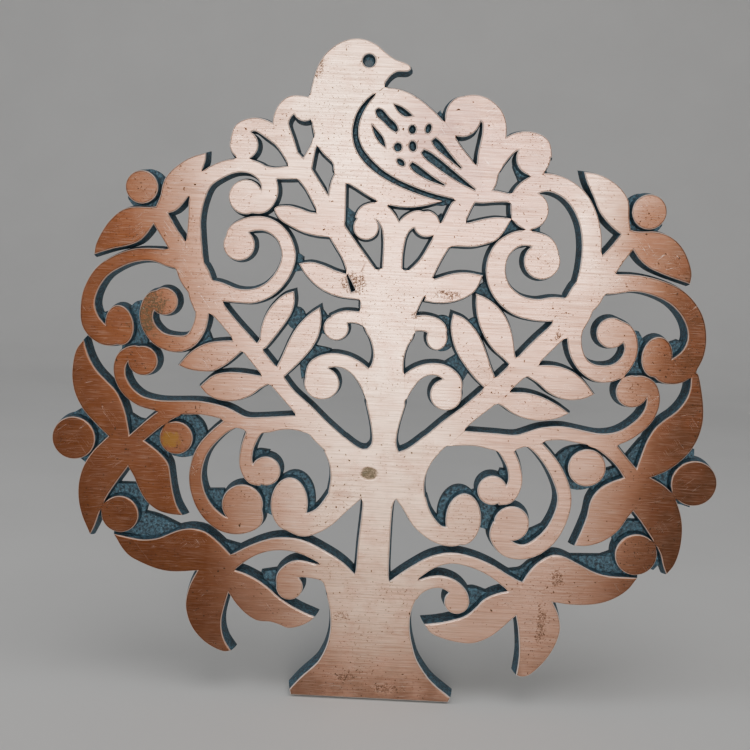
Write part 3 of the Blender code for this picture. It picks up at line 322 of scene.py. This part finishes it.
class Nodes:
    """A short way to write a node tree. Lengths in it are in mm."""

    def __init__(self, name):
        self.material = bpy.data.materials.new(name)
        self.material.use_nodes = True
        self.tree = self.material.node_tree
        self.shader = self.tree.nodes["Principled BSDF"]

    def add(self, kind, **inputs):
        node = self.tree.nodes.new("ShaderNode" + kind)
        for key, value in inputs.items():
            self.put(node.inputs[key.replace("_", " ")], value)
        return node

    def put(self, socket, value):
        if isinstance(value, bpy.types.NodeSocket):
            self.tree.links.new(value, socket)
        else:
            socket.default_value = value

    def math(self, operation, a, b=0.0, clamp=False):
        node = self.tree.nodes.new("ShaderNodeMath")
        node.operation = operation
        node.use_clamp = clamp
        self.put(node.inputs[0], a)
        self.put(node.inputs[1], b)
        return node.outputs[0]

    def ramp(self, value, low, high, to_low=0.0, to_high=1.0):
        node = self.tree.nodes.new("ShaderNodeMapRange")
        node.interpolation_type = "SMOOTHSTEP"
        for key, v in (("Value", value), ("From Min", low), ("From Max", high)):
            self.put(node.inputs[key], v)
        node.inputs["To Min"].default_value = to_low
        node.inputs["To Max"].default_value = to_high
        return node.outputs["Result"]

    def mix(self, factor, a, b):
        node = self.tree.nodes.new("ShaderNodeMix")
        node.data_type = "RGBA"
        self.put(node.inputs[0], factor)
        self.put(node.inputs[6], (*a, 1) if isinstance(a, tuple) else a)
        self.put(node.inputs[7], (*b, 1) if isinstance(b, tuple) else b)
        return node.outputs[2]

    def scaled(self, vector, x, y, z):
        node = self.tree.nodes.new("ShaderNodeVectorMath")
        node.operation = "MULTIPLY"
        self.put(node.inputs[0], vector)
        node.inputs[1].default_value = (x, y, z)
        return node.outputs[0]

    def turned(self, vector, degrees):
        node = self.tree.nodes.new("ShaderNodeVectorRotate")
        node.rotation_type = "Y_AXIS"
        self.put(node.inputs["Vector"], vector)
        node.inputs["Angle"].default_value = math.radians(degrees)
        return node.outputs[0]

    def noise(self, vector, scale, detail=2.0, roughness=0.5):
        node = self.add("TexNoise", Vector=vector, Scale=scale, Detail=detail, Roughness=roughness)
        return node.outputs["Fac"]

    def times(self, a, b):
        return self.math("MULTIPLY", a, b)

    def plus(self, a, b):
        return self.math("ADD", a, b)

    def minus(self, a, b):
        return self.math("SUBTRACT", a, b)

    def most(self, a, b):
        return self.math("MAXIMUM", a, b)

    def distance(self, x, z, half_width, half_height):
        """Distance from a place on the tree, 1 at the edge of an oval round it."""
        dx = self.math("DIVIDE", self.minus(self.x, x), half_width)
        dz = self.math("DIVIDE", self.minus(self.z, z + FOOT_LEVEL), half_height)
        return self.math("SQRT", self.plus(self.times(dx, dx), self.times(dz, dz)))

    def spot(self, place, wobble):
        """1 inside a blot with an uneven edge, 0 outside it."""
        return self.ramp(self.plus(self.distance(*place), wobble), 1.25, 0.8)

    def broad_spot(self, *place):
        """1 at a place, fading slowly to 0 at about twice its size."""
        return self.ramp(self.distance(*place), 1.9, 0.3)

    def spots(self, places):
        """The strongest of several broad spots."""
        found = self.broad_spot(*places[0])
        for place in places[1:]:
            found = self.most(found, self.broad_spot(*place))
        return found


# Zones of tone and of marks: x, height above the foot, half width, half height.
# Painted highlight: the zones where the raised face is paler.
HIGHLIGHT_ZONES = (
    (-12.0, 148.0, 15.0, 17.0), (0.0, 60.0, 10.0, 52.0), (50.0, 122.0, 8.0, 14.0),
    (-35.0, 132.0, 12.0, 8.0),
)
# Painted highlight: the zones where the raised face glows brightest.
GLOW_HIGHLIGHT_ZONES = ((0.0, 55.0, 18.0, 38.0), (-14.0, 148.0, 12.0, 15.0))
# Painted shade: the rosy zone beside the bird and the wing zone, where the face is darker.
SHADED_ROSY_ZONE = (25.0, 137.0, 13.0, 14.0)
SHADED_WING_ZONE = (10.0, 140.0, 9.0, 11.0)
# Painted shade: the zone at the right side where the face turns brown.
DARK_SIDE_ZONE = (64.0, 121.0, 10.0, 11.0)
PITTED_ZONES = ((-14, 147, 8, 10), (-5, 3, 12, 4), (43, 21, 5, 12), (0, 100, 10, 8))
BLOTS = (
    (-9, 106, 2.6, 2.4), (-8.5, 20.5, 2.2, 1.2), (-6.5, 4.2, 2.6, 0.9), (4.2, 1.6, 3.6, 1.3),
    (6.6, 98.8, 1.4, 0.8), (14.5, 104.2, 2.8, 1.0), (43.0, 21.0, 1.2, 5.5), (46.5, 33.5, 1.6, 2.0),
    (42.3, 95.3, 0.9, 0.8), (-11.5, 70.3, 0.9, 0.7), (-19.8, 158.0, 1.0, 2.4),
)
DENT = (-3.0, 58.3, 2.15, 1.55)
TARNISH = (-60.2, 97.0, 4.2, 6.0)
OCHRE = (-53.6, 64.6, 2.4, 1.8)
# Painted highlight: the glint on the floor of the eye.
EYE_GLINT = (-8.0, 159.5, 0.95, 0.8)
SCRATCHES = ((38, 1.275), (-52, 1.575), (12, 1.925))  # direction, and scale of where they lie

# Face tones: PALE and GLOW are painted highlight; ROSY, WING, BROWN and DEEP_BROWN are painted shade.
MID = (0.58, 0.345, 0.25)
PALE = (0.84, 0.545, 0.40)
GLOW = (1.0, 0.715, 0.53)
ROSY = (0.46, 0.27, 0.215)
WING = (0.34, 0.205, 0.178)
BROWN = (0.140, 0.050, 0.021)
DEEP_BROWN = (0.062, 0.028, 0.015)
FOOT = (0.24, 0.125, 0.08)
STREAK = (0.15, 0.07, 0.045)
BRIGHT_STREAK = (0.95, 0.78, 0.68)
PATINA = (0.013, 0.023, 0.034)
TEAL = (0.092, 0.190, 0.255)
PALE_TEAL = (0.30, 0.47, 0.54)


def copper():
    """Antiqued copper: brushed on the raised face, with painted highlight and shade in its tone, worn
    bright on its rim, dark and mottled below.
    """
    n = Nodes("antiqued_copper")
    place = n.add("TexCoord").outputs["Object"]
    mm = n.scaled(place, 1000, 1000, 1000)
    split = n.add("SeparateXYZ", Vector=mm)
    n.x, y, n.z = split.outputs
    depth = n.times(y, -1.0)

    broad = n.noise(mm, 0.035, 2)
    patchy = n.noise(mm, 0.22, 3, 0.6)
    grain = n.noise(n.scaled(mm, 0.055, 1, 2.6), 1.0, 3, 0.7)
    fine = n.noise(n.scaled(mm, 0.16, 1, 6.0), 1.0, 2, 0.7)
    speckle = n.noise(mm, 2.6, 3, 0.7)
    mottle = n.noise(mm, 1.3, 4, 0.7)
    pits = n.noise(n.scaled(mm, 1.5, 1.5, 2.2), 1.0, 2, 0.6)
    wobble = n.times(n.minus(n.noise(mm, 0.9, 3, 0.7), 0.5), 2.2)

    # tone: painted highlight, pale in the middle and on the bird; painted shade, rosier and darker
    # round the wing and browner at the sides; browner too towards the foot
    # painted shade: the face turns brown towards the left and right sides and in the zone at the
    # right
    to_left = n.ramp(n.plus(n.x, n.times(n.z, 0.25)), -18.0, -60.0)
    to_right = n.ramp(n.minus(n.x, n.times(n.z, 0.05)), 40.0, 74.0)
    painted_dark_sides = n.math("MAXIMUM", to_left, to_right, clamp=True)
    painted_dark_sides = n.most(painted_dark_sides, n.times(n.broad_spot(*DARK_SIDE_ZONE), 0.9))
    painted_dark_sides = n.math("ADD", painted_dark_sides, n.times(n.minus(broad, 0.5), 0.35), clamp=True)
    tone = n.mix(n.spots(HIGHLIGHT_ZONES), MID, PALE)
    tone = n.mix(n.times(n.spots(GLOW_HIGHLIGHT_ZONES), 0.75), tone, GLOW)
    # painted shade: rosier and darker round the wing, darkest on the wing
    tone = n.mix(n.times(n.broad_spot(*SHADED_ROSY_ZONE), 0.9), tone, ROSY)
    tone = n.mix(painted_dark_sides, tone, BROWN)
    # painted shade: darkest brown at the right edge
    tone = n.mix(n.ramp(n.x, 60.0, 77.0, 0.0, 0.85), tone, DEEP_BROWN)
    tone = n.mix(n.ramp(n.z, -62.0, -82.0, 0.0, 0.85), tone, FOOT)
    tone = n.mix(n.times(n.broad_spot(*SHADED_WING_ZONE), 0.95), tone, WING)

    # patches, then dark and bright streaks of the brush; the bright ones are painted glints as well
    # the patches are darker where the sides are painted dark
    shade = n.mix(painted_dark_sides, (0.62, 0.35, 0.25), (0.105, 0.033, 0.013))
    tone = n.mix(n.ramp(patchy, 0.35, 0.70, 0.0, 0.6), tone, shade)
    tone = n.mix(n.ramp(grain, 0.40, 0.66, 0.0, 0.75), tone, n.mix(0.62, tone, STREAK))
    # painted highlight: glints on the brush streaks, fewer where the sides are painted dark
    glints = n.times(n.ramp(fine, 0.50, 0.70, 0.0, 0.45), n.ramp(painted_dark_sides, 0.0, 1.0, 1.0, 0.35))
    tone = n.mix(glints, tone, n.mix(0.5, tone, BRIGHT_STREAK))

    # marks on the face: small pits in clusters, blots, tarnish
    cluster = n.ramp(n.noise(mm, 0.11, 2), 0.45, 0.60)
    cluster = n.most(cluster, n.spots(PITTED_ZONES))
    pitted = n.times(n.ramp(pits, 0.63, 0.67), cluster)
    lone = n.ramp(n.noise(mm, 1.15, 1, 0.4), 0.715, 0.745)
    marks = n.most(pitted, lone)
    for blot in BLOTS:
        inside = n.times(n.spot(blot, wobble), n.ramp(speckle, 0.46, 0.60))
        marks = n.most(marks, n.times(inside, 0.8))
    dent = n.spot(DENT, n.times(wobble, 0.35))
    tarnish = n.times(n.spot(TARNISH, wobble), n.ramp(speckle, 0.36, 0.58))
    ochre = n.times(n.spot(OCHRE, wobble), 0.55)
    tone = n.mix(n.times(marks, 0.9), tone, (0.060, 0.040, 0.025))
    tone = n.mix(n.times(tarnish, 0.92), tone, (0.050, 0.045, 0.028))
    tone = n.mix(ochre, tone, (0.20, 0.115, 0.02))
    # darkens an oval spot on the trunk, where the bump also presses in a shallow dent
    dark_spot_tone = n.times(dent, n.ramp(speckle, 0.2, 0.55, 0.65, 1.0))
    tone = n.mix(dark_spot_tone, tone, (0.10, 0.082, 0.055))

    # thin bright scratches, in three directions
    scratches = None
    for angle, spread in SCRATCHES:
        lines = n.noise(n.scaled(n.turned(mm, angle), 0.05, 0.0, 2.1), 1.0, 0.0)
        where = n.noise(n.scaled(mm, 0.12, 0.12, 0.12), spread, 1)
        middle = n.math("ABSOLUTE", n.minus(lines, 0.62))
        thin = n.times(n.ramp(middle, 0.006, 0.001), n.ramp(where, 0.56, 0.64))
        scratches = thin if scratches is None else n.most(scratches, thin)
    tone = n.mix(n.times(scratches, 0.22), tone, (0.98, 0.86, 0.78))

    # patina below the rim: blue-black, mottled with teal, copper showing on the web's bumps
    patina = n.mix(n.ramp(mottle, 0.35, 0.68), PATINA, TEAL)
    patina = n.mix(n.ramp(speckle, 0.60, 0.74, 0.0, 0.6), patina, PALE_TEAL)
    # painted highlight: a lighter glint on the eye's floor, kept off the back by depth
    eye_glint = n.times(n.spot(EYE_GLINT, n.times(wobble, 0.3)), n.ramp(depth, 1.0, 2.0, 0.0, 0.6))
    patina = n.mix(eye_glint, patina, (0.20, 0.23, 0.26))
    worn_web = n.times(n.ramp(speckle, 0.66, 0.80, 0.0, 0.5), n.ramp(broad, 0.4, 0.6))
    patina = n.mix(worn_web, patina, (0.34, 0.24, 0.20))

    edge = n.plus(depth, n.times(n.minus(n.noise(mm, 0.7, 3), 0.5), 0.5))
    on_face = n.ramp(depth, 5.90, 5.985)
    on_rim = n.ramp(edge, 5.42, 5.72)
    off_rim = n.minus(1.0, on_rim)
    # the rim is worn bright, and painted darker where the sides are painted dark
    rim = n.mix(painted_dark_sides, (0.95, 0.80, 0.72), (0.72, 0.50, 0.40))
    colour = n.mix(on_rim, patina, rim)
    colour = n.mix(on_face, colour, tone)
    n.put(n.shader.inputs["Base Color"], colour)

    metallic = n.plus(n.plus(0.15, n.times(on_rim, 0.3)), n.times(on_face, 0.55))
    n.put(n.shader.inputs["Metallic"], metallic)
    face_rough = n.plus(0.36, n.times(n.minus(grain, 0.5), 0.22))
    face_rough = n.plus(face_rough, n.times(marks, 0.25))
    face_rough = n.minus(face_rough, n.times(scratches, 0.1))
    low_rough = n.ramp(mottle, 0.3, 0.7, 0.42, 0.75)
    rough = n.plus(n.times(face_rough, on_rim), n.times(off_rim, low_rough))
    n.put(n.shader.inputs["Roughness"], rough)

    face_height = n.plus(n.times(grain, 0.022), n.times(fine, 0.010))
    face_height = n.minus(face_height, n.times(n.most(marks, dent), 0.06))
    face_height = n.minus(face_height, n.times(tarnish, 0.02))
    face_height = n.plus(face_height, n.times(broad, 0.5))
    cast = n.plus(n.times(mottle, 0.32), n.times(speckle, 0.10))
    height = n.plus(n.times(face_height, on_rim), n.times(off_rim, cast))
    bump = n.add("Bump", Height=height)
    bump.inputs["Strength"].default_value = 0.75
    bump.inputs["Distance"].default_value = MM
    n.put(n.shader.inputs["Normal"], bump.outputs["Normal"])
    return n.material


def plain(name, colour, roughness):
    """An even surface with a faint tint in it."""
    n = Nodes(name)
    place = n.add("TexCoord").outputs["Object"]
    tint = n.mix(n.ramp(n.noise(place, 14.0, 4), 0.3, 0.7), colour, tuple(c * 0.965 for c in colour))
    n.put(n.shader.inputs["Base Color"], tint)
    n.shader.inputs["Roughness"].default_value = roughness
    return n.material


# ---- the visible pieces -------------------------------------------------------------------------

antiqued = copper()
raised = {}
lower = {}
for name in sorted(nodes):
    raised[name] = level_loops(nodes[name], TOP)
    lower[name] = level_loops(nodes[name], WEB_TOP)


def rough_cast(x, z):
    """The uneven top of a web, in mm."""
    waves = math.sin(2.9 * x + 1.3 * math.sin(2.1 * z)) * math.sin(3.1 * z + 0.7 * math.sin(2.7 * x))
    return 0.16 * waves + 0.07 * math.sin(6.1 * x + 4.3 * z)


def grid_inside(loops, spacing=0.55):
    """Points of a grid over some loops, for an uneven surface."""
    low = np.min([loop.min(0) for loop in loops], 0)
    high = np.max([loop.max(0) for loop in loops], 0)
    found = []
    rows = int((high[1] - low[1]) / spacing)
    columns = int((high[0] - low[0]) / spacing)
    for r in range(1, rows + 1):
        for c in range(1, columns + 1):
            found.append((low[0] + (c - 0.5 * (r % 2)) * spacing, low[1] + r * spacing))
    return found


def wall_levels(loop, own, others, back):
    """The outline at each depth of the wall: rounded rim, draft, and seams closed to a hairline."""
    seam = find_seams(loop, others)
    inner = clearance(loop, own, True)
    outer = clearance(loop, own, False)
    levels = []
    for depth, reach in PROFILE:
        if back > 0 and depth < back + 0.2:
            continue
        if reach > 0:
            free = np.minimum(reach, DRAFT_SHARE * outer)
            free = np.minimum(free, np.roll(free, -1))
        else:
            free = -np.minimum(-reach, RIM_SHARE * inner * (-reach / RIM))
            free = np.maximum(free, np.roll(free, -1))
        levels.append((depth, moved(loop, np.where(seam, HALF_GAP, free))))
    if back > 0:
        levels.append((back, levels[-1][1]))
    return levels


def build_web(shell, loop):
    """A web: uneven on top, with rounded edges that run under the pieces beside it."""
    edge = smooth(loop)
    wide = moved(edge, np.full(len(edge), WEB_SPREAD))
    low_edge = moved(wide, np.full(len(wide), WEB_DRAFT))
    shell.add_flat([wide], WEB_TOP, True, grid_inside([wide]), rough_cast)
    lip = np.array([WEB_TOP + rough_cast(*p) for p in wide])
    rows = [(lip, wide), (lip - WEB_ROUND, low_edge), (0.25, low_edge), (WEB_BACK, wide)]
    shell.add_wall(rows)
    shell.add_flat([wide], WEB_BACK, False)


def build_piece(name):
    shell = Shell()
    own = [smooth(loop) for loop in raised[name]]
    others = sides([loop for other, loops in raised.items() if other != name for loop in loops])
    back = WING_BACK if name == "bird_wing" else 0.0
    walls = [wall_levels(loop, own, others, back) for loop in own]
    for levels in walls:
        shell.add_wall(levels)
    shell.add_flat([levels[0][1] for levels in walls], TOP, True)
    shell.add_flat([levels[-1][1] for levels in walls], back, False)
    for loop in lower[name]:
        if cross(loop, np.roll(loop, -1, axis=0)).sum() >= 0:
            build_web(shell, loop)
    shell.finish("visible_" + name, name, antiqued)


for name in sorted(nodes):
    build_piece(name)

# ---- floor, backdrop and light ------------------------------------------------------------------

FLOOR = -0.0836
BEND_START = 0.55
BEND = 0.5
HALF_WIDTH = 4.0
sweep = bpy.data.meshes.new("sweep")
profile = [(-3.0, FLOOR), (BEND_START, FLOOR)]
for i in range(1, 13):
    a = math.pi / 2 * i / 12
    profile.append((BEND_START + BEND * math.sin(a), FLOOR + BEND * (1 - math.cos(a))))
profile.append((BEND_START + BEND, 3.0))
points = [(x, y, z) for y, z in profile for x in (-HALF_WIDTH, HALF_WIDTH)]
strips = [(2 * i, 2 * i + 1, 2 * i + 3, 2 * i + 2) for i in range(len(profile) - 1)]
sweep.from_pydata(points, [], strips)
sweep.materials.append(plain("pale_paper", (0.74, 0.73, 0.71), 0.9))
sweep.polygons.foreach_set("use_smooth", [True] * len(strips))
backdrop = bpy.data.objects.new("backdrop", sweep)
scene.collection.objects.link(backdrop)


def soft_light(name, place, aim, width, height, power, colour=(1, 1, 1)):
    """A rectangular light, turned from its place towards a point."""
    data = bpy.data.lights.new(name, "AREA")
    data.shape = "RECTANGLE"
    data.size = width
    data.size_y = height
    data.energy = power
    data.color = colour
    light = bpy.data.objects.new(name, data)
    light.location = place
    facing = Vector(aim) - Vector(place)
    light.rotation_mode = "QUATERNION"
    light.rotation_quaternion = facing.to_track_quat("-Z", "Y")
    scene.collection.objects.link(light)


soft_light("key", (0.03, -0.85, -0.07), (0.005, 0, -0.02), 0.42, 0.62, 8.4, (1.0, 0.95, 0.89))
soft_light("overhead", (0.15, -0.35, 0.9), (0, 0, 0), 0.9, 0.6, 2.7)
soft_light("side", (-0.9, -0.3, 0.35), (0, 0, 0), 0.4, 0.8, 2, (0.9, 0.95, 1.0))

world = bpy.data.worlds.new("studio")
world.use_nodes = True
sky = world.node_tree.nodes["Background"]
sky.inputs["Color"].default_value = (0.92, 0.95, 1.0, 1)
sky.inputs["Strength"].default_value = 0.22
scene.world = world
